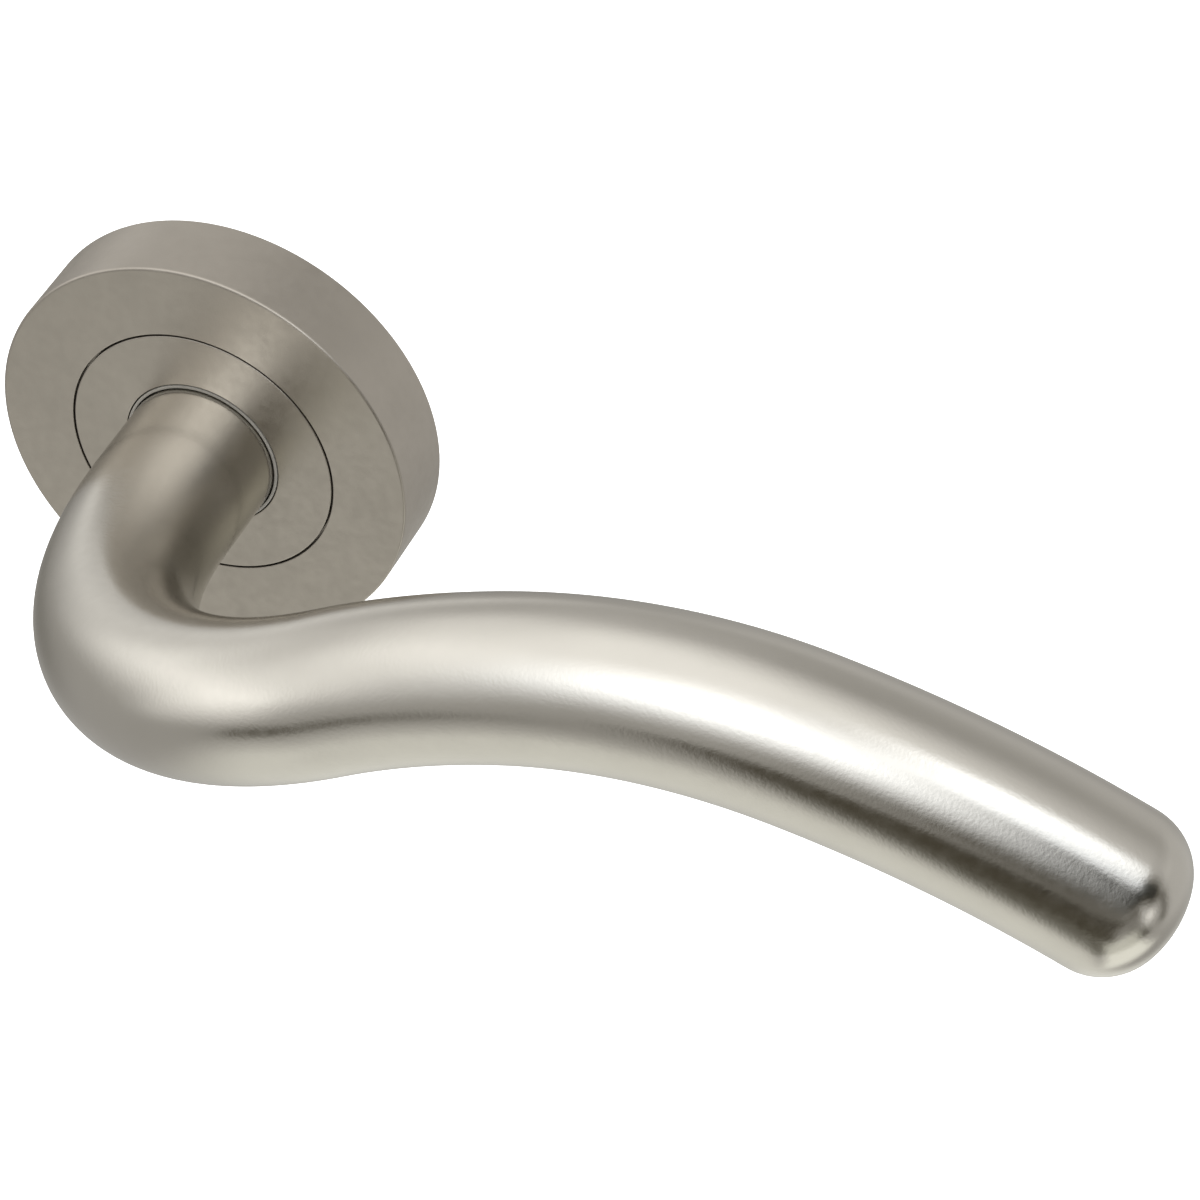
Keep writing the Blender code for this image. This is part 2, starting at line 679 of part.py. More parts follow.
def main():
    clear_scene()
    nickel = metal("satin_nickel", (0.52, 0.49, 0.44), 0.34)
    cast = metal("cast_zinc", (0.42, 0.42, 0.43), 0.55)
    steel = metal("zinc_plated_steel", (0.62, 0.64, 0.67), 0.30)
    spring_steel = metal("spring_steel", (0.33, 0.33, 0.35), 0.35)
    black_steel = metal("black_oxide_steel", (0.06, 0.06, 0.065), 0.45)
    nylon = metal("grey_nylon", (0.30, 0.29, 0.27), 0.5, 0.0)

    make_rose_cover(nickel)
    make_bearing_plate(nickel)
    neck_bush_back = PLATE_POCKET_DEPTH - GAP - BUSH_FLANGE
    make_bush("neck_bush", ROSE_DEPTH + 0.1 * MM, neck_bush_back, False, nylon)
    make_rose_base(cast)
    make_bush("base_bush", BASE_POCKET_DEPTH + 0.1 * MM, BASE_FRONT + GAP + BUSH_FLANGE, True, nylon)
    stop_back = BASE_POCKET_DEPTH + 0.1 * MM
    make_pin("stop_pin_rest", rest_stop_angle(), STOP_PIN_PITCH_RADIUS, stop_back, steel)
    make_pin("stop_pin_turned", turned_stop_angle(), STOP_PIN_PITCH_RADIUS, stop_back, steel)
    make_pin("spring_anchor_pin", anchor_pin_angle(), ANCHOR_PITCH_RADIUS, 0.4 * MM, steel)
    make_return_spring(spring_steel)
    for number, angle in enumerate(PILLAR_ANGLES, 1):
        make_plate_screw(f"plate_screw_{number}", angle, steel)
    for number, angle in enumerate(POST_ANGLES, 1):
        make_fixing_post(f"fixing_post_{number}", angle, steel)

    lever_axis = bpy.data.objects.new("lever_axis", None)
    bpy.context.collection.objects.link(lever_axis)
    make_lever(nickel, lever_axis)
    make_spindle_socket(cast, lever_axis)
    make_spindle(steel, lever_axis)
    make_grub_screw(black_steel, lever_axis)
    make_drive_collar(steel, lever_axis)
    make_drive_pin(black_steel, lever_axis)
    make_retaining_ring(spring_steel, lever_axis)
    make_wave_washer(spring_steel, lever_axis)


main()
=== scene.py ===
"""Looks of the tubular door lever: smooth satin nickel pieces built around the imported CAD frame.

Frame: origin on the spindle axis in the door's face, +X along the lever, +Z up, -Y away from the door.
Depth counts from the door's face towards the user, so a depth of 5 mm is y = -5 mm.
"""
from math import atan2, cos, hypot, pi, radians, sin

import bmesh
import bpy
from mathutils import Matrix, Vector


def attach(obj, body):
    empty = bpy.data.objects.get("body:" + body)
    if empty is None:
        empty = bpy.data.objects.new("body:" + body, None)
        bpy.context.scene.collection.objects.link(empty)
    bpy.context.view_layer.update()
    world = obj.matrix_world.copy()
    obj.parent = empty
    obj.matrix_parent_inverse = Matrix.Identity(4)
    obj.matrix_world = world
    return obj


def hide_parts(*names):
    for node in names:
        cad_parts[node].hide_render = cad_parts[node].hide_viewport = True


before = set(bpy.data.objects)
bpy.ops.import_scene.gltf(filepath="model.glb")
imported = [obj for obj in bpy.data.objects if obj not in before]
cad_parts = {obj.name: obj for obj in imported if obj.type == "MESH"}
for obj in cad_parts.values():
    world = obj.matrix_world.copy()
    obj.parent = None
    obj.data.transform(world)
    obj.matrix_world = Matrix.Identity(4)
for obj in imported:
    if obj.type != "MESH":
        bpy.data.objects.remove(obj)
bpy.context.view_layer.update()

MM = 0.001
GAP = 0.3 * MM

# Rose, as in the CAD, but its inner plate is 0.05 mm smaller, which widens the seam around it.
ROSE_RADIUS = 26.0 * MM
ROSE_DEPTH = 10.0 * MM
COVER_WALL = 1.2 * MM
COVER_EDGE = 0.3 * MM
RING_LINE = 0.2 * MM
PLATE_RADIUS = 16.6 * MM
PLATE_GAP = 0.25 * MM
PLATE_FLANGE_RADIUS = 22.0 * MM
PLATE_FLANGE_BACK = 7.4 * MM
PLATE_FLANGE_FRONT = ROSE_DEPTH - COVER_WALL - GAP
PLATE_POCKET_RADIUS = 15.6 * MM
PLATE_POCKET_DEPTH = 8.3 * MM
BASE_RADIUS = 24.5 * MM
BASE_RIM_INNER = 22.9 * MM
BASE_RIM_FRONT = 8.4 * MM
BASE_FRONT = 3.8 * MM
BASE_POCKET_RADIUS = 12.8 * MM
BASE_POCKET_DEPTH = 2.8 * MM
PILLAR_RADIUS = 2.2 * MM
PILLAR_ANGLES = (60.0, 240.0)
PILLAR_PITCH_RADIUS = 18.7 * MM
POST_SPACING = 38.0 * MM
POST_ANGLES = (180.0, 0.0)
POST_RADIUS = 2.9 * MM
POST_FLANGE_RADIUS = 3.5 * MM
POST_FLANGE = 0.8 * MM
POST_THREAD_RADIUS = 1.65 * MM
POST_LENGTH_IN_DOOR = 6.0 * MM
POST_PITCH = 0.7 * MM
POST_THREAD = 0.3 * MM

# Lever tube, as in the CAD. Its visible shape is the rounded result of a fit to the photo.
TUBE_RADIUS = 9.2 * MM
TUBE_WALL = 1.5 * MM
TUBE_NECKING = 0.4 * MM
NECKING_REACH = 48.0 * MM
NECKING_PAST_BEND = 5.0 * MM
NECK_END = 0.4 * MM
NECK_STRAIGHT = 20.85 * MM
BEND_RADIUS = 42.0 * MM
BEND_ANGLE = radians(95.9)
ARM_START_TILT = radians(21.5)
ARM_ARCS = ((20.4 * MM, 87.0 * MM), (31.8 * MM, 67.0 * MM), (34.5 * MM, 146.0 * MM))
DOME_HEIGHT = 7.5 * MM
DOME_CORNER = 7.1 * MM

# Mechanism, as in the CAD, but for bushes and pin holes that fit more closely.
BUSH_CLEARANCE = 0.12 * MM
BUSH_INNER = TUBE_RADIUS + BUSH_CLEARANCE
BUSH_WALL = 0.36 * MM
BUSH_SEAT_CLEARANCE = 0.14 * MM
BUSH_SEAT = BUSH_INNER + BUSH_WALL + BUSH_SEAT_CLEARANCE
BUSH_FLANGE_RADIUS = 11.5 * MM
BUSH_FLANGE = 0.5 * MM
COLLAR_BACK = 4.9 * MM
COLLAR_FRONT = 7.2 * MM
COLLAR_RADIUS = 11.6 * MM
LUG_RADIUS = 13.3 * MM
LUG_STEP = 0.1 * MM
STOP_LUG_ANGLE = 200.0
STOP_LUG_HALF = 7.0
SPRING_LUG_ANGLE = 20.0
SPRING_LUG_HALF = 6.0
LEVER_TURN = 50.0
STOP_PIN_RADIUS = 0.8 * MM
STOP_PIN_PITCH_RADIUS = 12.6 * MM
STOP_PIN_FRONT = 7.1 * MM
ANCHOR_PIN_BACK = 0.4 * MM
PIN_HOLE_RADIUS = 0.85 * MM
DRIVE_PIN_RADIUS = 0.6 * MM
DRIVE_PIN_DEPTH = (COLLAR_BACK + COLLAR_FRONT) / 2
GROOVE_RADIUS = 8.5 * MM
GROOVE_BACK = 0.8 * MM
GROOVE_FRONT = 2.0 * MM
RING_THICKNESS = 0.9 * MM
RING_OUTER = 11.0 * MM
RING_OPENING = 40.0
WASHER_DEPTH = 2.4 * MM
WASHER_THICKNESS = 0.3 * MM
WASHER_WAVE = 0.1 * MM
WASHER_WAVES = 3
WASHER_OUTER = 12.2 * MM
SPRING_WIRE_RADIUS = 0.65 * MM
SPRING_RADIUS = 14.5 * MM
SPRING_PITCH = 1.6 * MM
SPRING_TURNS = 1.25
SPRING_BACK = BASE_FRONT + GAP + SPRING_WIRE_RADIUS
SPRING_CORNER = 1.2 * MM
SPRING_INNER_TIP = 12.1 * MM
SPRING_OUTER_TIP = 17.8 * MM
ANCHOR_PITCH_RADIUS = 16.7 * MM
SPINDLE_WIDTH = 8.0 * MM
SPINDLE_CHAMFER = 0.5 * MM
SPINDLE_IN_LEVER = 17.0 * MM
SPINDLE_IN_DOOR = 19.0 * MM
SOCKET_CLEARANCE = 0.25 * MM
SOCKET_FRONT = 19.5 * MM
GRUB_RADIUS = 2.3 * MM
GRUB_DEPTH = 13.5 * MM
GRUB_HEX_WIDTH = 2.5 * MM
GRUB_HEX_DEPTH = 2.0 * MM
GRUB_PITCH = 0.8 * MM
GRUB_THREAD = 0.35 * MM
GRUB_BELOW_SKIN = 0.4 * MM
SCREW_RADIUS = 1.0 * MM
SCREW_HEAD_RADIUS = 2.2 * MM
SCREW_HEAD_HEIGHT = 1.3 * MM
SCREW_HEAD_BACK = 0.2 * MM
SCREW_PITCH = 0.45 * MM
SCREW_THREAD = 0.18 * MM

# Fineness of the meshes.
SIDES_ROSE = 192
SIDES_RING = 128
SIDES_TUBE = 128
SIDES_SMALL = 48
SIDES_WIRE = 20
STEP_ALONG = 0.8 * MM
STEPS_ROUND_COIL = 100
THREAD_STEPS = 8
WELD_DISTANCE = 0.0005 * MM
SHARP_ANGLE = radians(28)


def polar(angle_degrees, radius, depth=0.0):
    """A point at an angle from +X towards +Z, at a depth in front of the door's face."""
    angle = radians(angle_degrees)
    return Vector((radius * cos(angle), -depth, radius * sin(angle)))


def at_spot(angle_degrees, radius):
    return Matrix.Translation(polar(angle_degrees, radius))


def across(depth, upwards):
    """Places a turned body across the neck: its depth becomes height above (or below) the axis."""
    quarter_turn = -pi / 2 if upwards else pi / 2
    return Matrix.Translation((0.0, -depth, 0.0)) @ Matrix.Rotation(quarter_turn, 4, "X")


def new_object(name, source):
    bmesh.ops.remove_doubles(source, verts=source.verts, dist=WELD_DISTANCE)
    bmesh.ops.recalc_face_normals(source, faces=source.faces)
    mesh = bpy.data.meshes.new(name)
    source.to_mesh(mesh)
    source.free()
    item = bpy.data.objects.new(name, mesh)
    bpy.context.scene.collection.objects.link(item)
    shade(item)
    return item


def shade(item):
    item.data.shade_smooth()
    item.data.set_sharp_from_angle(angle=SHARP_ANGLE)


def combine(item, tool, operation):
    """Cut or join with a tool object, which is then removed."""
    modifier = item.modifiers.new("combine", "BOOLEAN")
    modifier.object = tool
    modifier.operation = operation
    modifier.solver = "EXACT"
    shaped = item.evaluated_get(bpy.context.evaluated_depsgraph_get())
    item.data = bpy.data.meshes.new_from_object(shaped)
    item.modifiers.clear()
    bpy.data.objects.remove(tool)
    shade(item)


def spin_outline(source, outline, sides, placing=Matrix.Identity(4)):
    """Add the body that a closed outline of (radius, depth) points spins about the Y axis."""
    already = len(source.verts)
    corners = [source.verts.new((max(radius, 0.0), -depth, 0.0)) for radius, depth in outline]
    pairs = zip(corners, corners[1:] + corners[:1])
    edges = [source.edges.new(pair) for pair in pairs if max(pair[0].co.x, pair[1].co.x) > 0.0]
    profile = corners + edges
    bmesh.ops.spin(source, geom=profile, axis=(0, 1, 0), cent=(0, 0, 0), angle=2 * pi, steps=sides)
    source.verts.ensure_lookup_table()
    bmesh.ops.transform(source, matrix=placing, verts=source.verts[already:])


def turned(name, outline, sides, placing=Matrix.Identity(4), thread=None):
    source = bmesh.new()
    spin_outline(source, outline, sides)
    if thread:
        bmesh.ops.remove_doubles(source, verts=source.verts, dist=WELD_DISTANCE)
        cut_thread(source, *thread)
    bmesh.ops.transform(source, matrix=placing, verts=source.verts)
    return new_object(name, source)


def turned_tool(bodies):
    """Several turned bodies in one cutting object; each is (outline, placing)."""
    source = bmesh.new()
    for outline, placing in bodies:
        spin_outline(source, outline, SIDES_SMALL, placing)
    return new_object("tool", source)


def rod_outline(radius, back, front):
    return [(0.0, back), (radius, back), (radius, front), (0.0, front)]


def rounded(outline, rounding, steps=4):
    """Round each corner of a closed outline of (radius, depth) or (radius, depth, own rounding).

    A point just off each end of a corner keeps the flat faces beside it flat when shaded smooth.
    """
    just_off = 1.4
    result = []
    for index, corner in enumerate(outline):
        reach = corner[2] if len(corner) > 2 else rounding
        here = Vector(corner[:2])
        if reach <= 0.0 or corner[0] <= 0.0:
            result.append(tuple(here))
            continue
        to_before = (Vector(outline[index - 1][:2]) - here).normalized()
        to_after = (Vector(outline[(index + 1) % len(outline)][:2]) - here).normalized()
        result.append(tuple(here + to_before * reach * just_off))
        start = here + to_before * reach
        end = here + to_after * reach
        for step in range(steps + 1):
            share = step / steps
            point = start * (1 - share) ** 2 + here * 2 * share * (1 - share) + end * share ** 2
            result.append(tuple(point))
        result.append(tuple(here + to_after * reach * just_off))
    return result


def threaded_wall(radius, back, front, pitch):
    """Points close enough together along a wall to carry a thread."""
    count = round((front - back) / pitch * THREAD_STEPS)
    return [(radius, back + (front - back) * step / count) for step in range(1, count)]


def cut_thread(source, radius, back, front, pitch, height):
    """Press a V thread into the wall at a radius; a negative height cuts towards the axis."""
    on_wall = 0.01 * MM
    for vert in source.verts:
        depth = -vert.co.y
        reach = hypot(vert.co.x, vert.co.z)
        if abs(reach - radius) > on_wall or not back < depth < front:
            continue
        phase = (depth / pitch + atan2(vert.co.z, vert.co.x) / (2 * pi)) % 1.0
        run_out = min(1.0, (depth - back) / pitch, (front - depth) / pitch)
        scale = 1.0 + height * run_out * (1.0 - abs(2.0 * phase - 1.0)) / reach
        vert.co.x *= scale
        vert.co.z *= scale


def frames_along(points):
    """Twist-free frames (point, side, up) along a line of points."""
    side = None
    frames = []
    for index, point in enumerate(points):
        before = points[max(index - 1, 0)]
        after = points[min(index + 1, len(points) - 1)]
        tangent = (after - before).normalized()
        if side is None:
            side = tangent.orthogonal().normalized()
        side = (side - tangent * side.dot(tangent)).normalized()
        frames.append((point, side, tangent.cross(side)))
    return frames


def ring_at(source, frame_at, radius, sides):
    point, side, up = frame_at
    turns = [2 * pi * step / sides for step in range(sides)]
    return [source.verts.new(point + radius * (cos(turn) * side + sin(turn) * up)) for turn in turns]


def skin(source, rings):
    for first, second in zip(rings, rings[1:]):
        for index in range(len(first)):
            following = (index + 1) % len(first)
            source.faces.new((first[index], first[following], second[following], second[index]))


def swept(name, sections, closed):
    """A body through cross-sections, each (angle, outline), that go round the axis."""
    source = bmesh.new()
    rings = [[source.verts.new(polar(angle, *spot)) for spot in outline] for angle, outline in sections]
    skin(source, rings + rings[:1] if closed else rings)
    if not closed:
        source.faces.new(rings[0])
        source.faces.new(rings[-1])
    return new_object(name, source)


def stand_for(item, body, node, material):
    """The piece takes the CAD node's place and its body."""
    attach(item, body)
    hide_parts(node)
    item.data.materials.clear()
    item.data.materials.append(material)


# ---- lever ---------------------------------------------------------------------------------------

def lever_path():
    """Centre line of the tube as (travel, point) pairs: straight neck, bend, then an arched arm."""
    outward = Vector((0.0, -1.0, 0.0))
    sideways = Vector((cos(ARM_START_TILT), 0.0, sin(ARM_START_TILT)))
    bend_start = outward * NECK_STRAIGHT
    neck_steps = 20
    path = []
    for step in range(1, neck_steps + 1):
        depth = GROOVE_FRONT + (NECK_STRAIGHT - GROOVE_FRONT) * step / neck_steps
        path.append((depth, outward * depth))
    bend_steps = round(BEND_RADIUS * BEND_ANGLE / STEP_ALONG)
    for step in range(1, bend_steps + 1):
        turn = BEND_ANGLE * step / bend_steps
        point = bend_start + BEND_RADIUS * (sin(turn) * outward + (1 - cos(turn)) * sideways)
        path.append((NECK_STRAIGHT + BEND_RADIUS * turn, point))
    travel, point = path[-1]
    inward = BEND_ANGLE - pi / 2
    tilt = ARM_START_TILT
    for length, radius in ARM_ARCS:
        steps = round(length / STEP_ALONG)
        for step in range(steps):
            middle = tilt - length / steps / radius / 2
            heading = Vector((cos(middle) * cos(inward), sin(inward), sin(middle) * cos(inward)))
            point = point + heading * (length / steps)
            travel += length / steps
            tilt -= length / steps / radius
            path.append((travel, point))
    return path


def tube_radius(travel):
    """The tube draws in slightly around the end of the bend."""
    narrowest = NECK_STRAIGHT + BEND_RADIUS * BEND_ANGLE + NECKING_PAST_BEND
    distance = min(abs(travel - narrowest) / NECKING_REACH, 1.0)
    return TUBE_RADIUS - TUBE_NECKING * cos(pi / 2 * distance) ** 2


def dome_outline(radius, height, corner):
    """(radius, advance) points of the closed end: a corner arc that runs into a flatter crown."""
    steps = 14
    flat = radius - corner
    crown_offset = (flat ** 2 - (height - corner) ** 2) / (2 * (height - corner))
    crown_radius = crown_offset + height
    crown_half = atan2(flat, crown_offset)
    points = []
    for step in range(1, steps + 1):
        turn = (pi / 2 - crown_half) * step / steps
        points.append((flat + corner * cos(turn), corner * sin(turn)))
    for step in range(1, steps):
        turn = crown_half * (1 - step / steps)
        points.append((crown_radius * sin(turn), crown_radius * cos(turn) - crown_offset))
    return points


def neck_rings(inset):
    """(depth, radius) steps of the neck's end; the outer wall has the retaining ring's groove."""
    wall = TUBE_RADIUS - inset
    edge = 0.12 * MM
    if inset:
        return [(NECK_END, wall + edge), (NECK_END + edge, wall)]
    return [
        (NECK_END, wall - edge),
        (NECK_END + edge, wall),
        (GROOVE_BACK, wall),
        (GROOVE_BACK, GROOVE_RADIUS),
        (GROOVE_FRONT, GROOVE_RADIUS),
        (GROOVE_FRONT, wall),
    ]


def closed_skin(source, inset):
    """One wall surface of the tube, from its open neck end to the crown of its dome."""
    path = lever_path()
    frames = frames_along([point for _, point in path])
    _, neck_side, neck_up = frames[0]
    rings = []
    for depth, radius in neck_rings(inset):
        neck_frame = (Vector((0.0, -depth, 0.0)), neck_side, neck_up)
        rings.append(ring_at(source, neck_frame, radius, SIDES_TUBE))
    for (travel, _), frame_at in zip(path, frames):
        rings.append(ring_at(source, frame_at, tube_radius(travel) - inset, SIDES_TUBE))
    point, side, up = frames[-1]
    ahead = side.cross(up)
    height = DOME_HEIGHT - inset
    end_radius = tube_radius(path[-1][0]) - inset
    for ring_radius, advance in dome_outline(end_radius, height, DOME_CORNER - inset):
        rings.append(ring_at(source, (point + ahead * advance, side, up), ring_radius, SIDES_TUBE))
    skin(source, rings)
    crown = source.verts.new(point + ahead * height)
    for index in range(SIDES_TUBE):
        source.faces.new((rings[-1][index], rings[-1][(index + 1) % SIDES_TUBE], crown))
    return rings[0]


def neck_holes(pin_span, grub_span):
    """Tool for the drive pin's hole from above and the grub screw's hole from below."""
    holes = [(rod_outline(DRIVE_PIN_RADIUS + RING_LINE, *pin_span), across(DRIVE_PIN_DEPTH, True))]
    if grub_span:
        holes.append((rod_outline(GRUB_RADIUS + GAP / 2, *grub_span), across(GRUB_DEPTH, False)))
    return turned_tool(holes)


def make_lever():
    source = bmesh.new()
    outer_mouth = closed_skin(source, 0.0)
    inner_mouth = closed_skin(source, TUBE_WALL)
    skin(source, [outer_mouth, inner_mouth])
    lever = new_object("lever_tube", source)
    through_wall = (5.0 * MM, 11.0 * MM)
    combine(lever, neck_holes(through_wall, through_wall), "DIFFERENCE")
    return lever


def square_reach(turn, half_width, corner_reach):
    """Distance from the centre of a square, with blunted corners, to its outline at a turn."""
    off_face = (turn + pi / 4) % (pi / 2) - pi / 4
    return min(half_width / cos(off_face), corner_reach)


def make_spindle_socket():
    """Cast plug in the neck, with a square hole all the way through for the spindle."""
    outer = TUBE_RADIUS - TUBE_WALL - GAP
    edge = 0.4 * MM
    half = SPINDLE_WIDTH / 2 + SOCKET_CLEARANCE
    mouth = half + edge
    corner_reach = 1.65 * MM
    levels = [
        (half, NECK_END + edge, True),
        (mouth, NECK_END, True),
        (outer - edge, NECK_END, False),
        (outer, NECK_END + edge, False),
        (outer, SOCKET_FRONT - edge, False),
        (outer - edge, SOCKET_FRONT, False),
        (mouth, SOCKET_FRONT, True),
        (half, SOCKET_FRONT - edge, True),
    ]
    source = bmesh.new()
    rings = []
    for reach, depth, square in levels:
        ring = []
        for step in range(SIDES_RING):
            turn = 2 * pi * step / SIDES_RING
            radius = square_reach(turn, reach, reach + corner_reach) if square else reach
            ring.append(source.verts.new((radius * cos(turn), -depth, radius * sin(turn))))
        rings.append(ring)
    skin(source, rings + rings[:1])
    socket = new_object("spindle_plug", source)
    through_wall = (3.0 * MM, 9.0 * MM)
    combine(socket, neck_holes(through_wall, through_wall), "DIFFERENCE")
    return socket


def make_spindle():
    length = SPINDLE_IN_LEVER + SPINDLE_IN_DOOR
    size = Matrix.Diagonal((SPINDLE_WIDTH, length, SPINDLE_WIDTH, 1.0))
    middle = Matrix.Translation((0.0, SPINDLE_IN_DOOR - length / 2, 0.0))
    source = bmesh.new()
    bmesh.ops.create_cube(source, size=1.0, matrix=middle @ size)
    edges = source.edges[:]
    bmesh.ops.bevel(source, geom=edges, offset=SPINDLE_CHAMFER, segments=3, profile=0.5, affect="EDGES")
    return new_object("square_spindle", source)


def make_grub_screw():
    """Cup-point set screw with a metric thread and a hexagon socket."""
    inner_end = SPINDLE_WIDTH / 2 + GAP
    outer_end = TUBE_RADIUS - GRUB_BELOW_SKIN
    edge = 0.3 * MM
    cup_radius, cup_depth = 1.0 * MM, 0.5 * MM
    wall_back, wall_front = inner_end + edge, outer_end - edge
    outline = [
        (0.0, inner_end + cup_depth),
        (cup_radius, inner_end),
        (GRUB_RADIUS - edge, inner_end),
        (GRUB_RADIUS, wall_back),
        *threaded_wall(GRUB_RADIUS, wall_back, wall_front, GRUB_PITCH),
        (GRUB_RADIUS, wall_front),
        (GRUB_RADIUS - edge, outer_end),
        (0.0, outer_end),
    ]
    thread = (GRUB_RADIUS, wall_back, wall_front, GRUB_PITCH, -GRUB_THREAD)
    screw = turned("set_screw", outline, SIDES_SMALL, across(GRUB_DEPTH, False), thread)
    hex_radius = GRUB_HEX_WIDTH / 2 / cos(pi / 6)
    socket_end = outer_end - GRUB_HEX_DEPTH
    drill_cone = 0.4 * MM
    chamfer = 0.15 * MM
    past_end = 0.45 * MM
    key_outline = [
        (0.0, socket_end - drill_cone),
        (hex_radius, socket_end),
        (hex_radius, outer_end - chamfer),
        (hex_radius + chamfer + past_end, outer_end + past_end),
        (0.0, outer_end + past_end),
    ]
    combine(screw, turned("tool", key_outline, 6, across(GRUB_DEPTH, False)), "DIFFERENCE")
    return screw


def make_drive_collar():
    """Ring pinned to the neck, with one lug between the stops and one that the spring pushes."""
    lug_flank = 0.4
    angles = [360.0 * step / SIDES_RING for step in range(SIDES_RING)]
    lugs = ((STOP_LUG_ANGLE, STOP_LUG_HALF), (SPRING_LUG_ANGLE, SPRING_LUG_HALF))
    for centre, half in lugs:
        for side in (-1.0, 1.0):
            angles += [centre + side * half, centre + side * (half + lug_flank)]
    sections = []
    for angle in sorted(angles):
        on_lug = any(abs(angle - centre) <= half + lug_flank / 2 for centre, half in lugs)
        reach = LUG_RADIUS if on_lug else COLLAR_RADIUS
        back, front = COLLAR_BACK + LUG_STEP, COLLAR_FRONT - LUG_STEP
        sections.append((angle, [
            (BUSH_INNER, COLLAR_BACK),
            (COLLAR_RADIUS - LUG_STEP, COLLAR_BACK),
            (COLLAR_RADIUS, back),
            (reach, back),
            (reach, front),
            (COLLAR_RADIUS, front),
            (COLLAR_RADIUS - LUG_STEP, COLLAR_FRONT),
            (BUSH_INNER, COLLAR_FRONT),
        ]))
    collar = swept("pinned_collar", sections, True)
    through_ring = (8.0 * MM, 13.0 * MM)
    combine(collar, neck_holes(through_ring, None), "DIFFERENCE")
    return collar


def make_drive_pin():
    inner_end = 4.6 * MM
    outer_end = COLLAR_RADIUS - 0.1 * MM
    outline = rounded(rod_outline(DRIVE_PIN_RADIUS, inner_end, outer_end), 0.15 * MM)
    return turned("cross_pin", outline, SIDES_WIRE, across(DRIVE_PIN_DEPTH, True))


def make_retaining_ring():
    middle = (GROOVE_BACK + GROOVE_FRONT) / 2
    back, front = middle - RING_THICKNESS / 2, middle + RING_THICKNESS / 2
    inner = GROOVE_RADIUS + RING_LINE
    corners = [(inner, back), (RING_OUTER, back), (RING_OUTER, front), (inner, front)]
    outline = rounded(corners, 0.12 * MM, 3)
    arc = 360.0 - RING_OPENING
    start = 270.0 - arc / 2 + 180.0
    sections = [(start + arc * step / SIDES_RING, outline) for step in range(SIDES_RING + 1)]
    return swept("snap_ring", sections, False)


def make_wave_washer():
    sections = []
    for step in range(SIDES_RING):
        angle = 360.0 * step / SIDES_RING
        middle = WASHER_DEPTH + WASHER_WAVE * sin(radians(angle) * WASHER_WAVES)
        back, front = middle - WASHER_THICKNESS / 2, middle + WASHER_THICKNESS / 2
        corners = [(BUSH_INNER, back), (WASHER_OUTER, back), (WASHER_OUTER, front), (BUSH_INNER, front)]
        sections.append((angle, rounded(corners, 0.06 * MM, 2)))
    return swept("spring_washer", sections, True)


# ---- rose ----------------------------------------------------------------------------------------

def make_cover():
    outline = rounded([
        (ROSE_RADIUS, 0.0, 0.1 * MM),
        (ROSE_RADIUS, ROSE_DEPTH, COVER_EDGE),
        (PLATE_RADIUS + PLATE_GAP, ROSE_DEPTH, 0.08 * MM),
        (PLATE_RADIUS + PLATE_GAP, ROSE_DEPTH - COVER_WALL),
        (ROSE_RADIUS - COVER_WALL, ROSE_DEPTH - COVER_WALL, COVER_EDGE),
        (ROSE_RADIUS - COVER_WALL, 0.0),
    ], 0.1 * MM)
    return turned("cover_shell", outline, SIDES_ROSE)


def make_bearing_plate():
    hole = BUSH_SEAT
    outline = rounded([
        (hole, ROSE_DEPTH),
        (PLATE_RADIUS, ROSE_DEPTH, 0.12 * MM),
        (PLATE_RADIUS, PLATE_FLANGE_FRONT, 0.0),
        (PLATE_FLANGE_RADIUS, PLATE_FLANGE_FRONT),
        (PLATE_FLANGE_RADIUS, PLATE_FLANGE_BACK),
        (PLATE_POCKET_RADIUS, PLATE_FLANGE_BACK),
        (PLATE_POCKET_RADIUS, PLATE_POCKET_DEPTH, 0.0),
        (hole, PLATE_POCKET_DEPTH),
    ], 0.08 * MM)
    plate = turned("bearing_disc", outline, SIDES_ROSE)
    hole_outline = rod_outline(SCREW_RADIUS + RING_LINE, PLATE_FLANGE_BACK - GAP, ROSE_DEPTH)
    holes = [(hole_outline, at_spot(angle, PILLAR_PITCH_RADIUS)) for angle in PILLAR_ANGLES]
    combine(plate, turned_tool(holes), "DIFFERENCE")
    return plate


def make_bush(name, tail, flange_face, front_flange):
    """Flanged plastic bush. Its sleeve runs from tail to flange_face, where the flange stands."""
    sleeve = BUSH_INNER + BUSH_WALL
    flange_inner_face = flange_face - BUSH_FLANGE if front_flange else flange_face + BUSH_FLANGE
    outline = rounded([
        (BUSH_INNER, tail),
        (sleeve, tail),
        (sleeve, flange_inner_face, 0.0),
        (BUSH_FLANGE_RADIUS, flange_inner_face),
        (BUSH_FLANGE_RADIUS, flange_face),
        (BUSH_INNER, flange_face),
    ], 0.12 * MM)
    return turned(name, outline, SIDES_RING)


def pin_clearance_angle():
    """Half the angle that a stop pin and its gap take up, in degrees."""
    return (STOP_PIN_RADIUS + GAP) / STOP_PIN_PITCH_RADIUS * 180.0 / pi


def rest_stop_angle():
    return STOP_LUG_ANGLE + STOP_LUG_HALF + pin_clearance_angle()


def turned_stop_angle():
    return STOP_LUG_ANGLE - LEVER_TURN - STOP_LUG_HALF - pin_clearance_angle()


